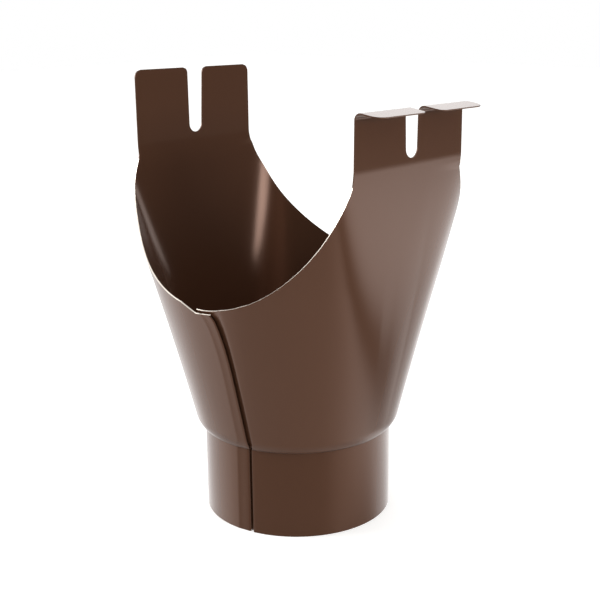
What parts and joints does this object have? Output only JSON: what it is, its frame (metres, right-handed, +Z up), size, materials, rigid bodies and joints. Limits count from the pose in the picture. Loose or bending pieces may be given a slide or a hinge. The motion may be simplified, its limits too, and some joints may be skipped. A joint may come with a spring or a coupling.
{
  "type": "gutter outlet",
  "caption": "Half-round gutter outlet: one pressed sheet-metal funnel with a saddle for the gutter, slotted tabs that hook over its edges and a round spigot below.",
  "frame": {"origin": "centre of the spigot's lower end, where the outlet stands and the downpipe takes over", "axes": "+Z up along the spigot's axis, +Y along the gutter that hangs in the saddle, +X to the front wing with the folded flaps"},
  "size_m": [0.1622, 0.1409, 0.2321],
  "materials": {
    "coated_steel": "satin dark brown coating on galvanised steel sheet, bright at the cut edges"
  },
  "bodies": {
    "root": {"outlet_body": "coated_steel"}
  },
  "joints": []
}
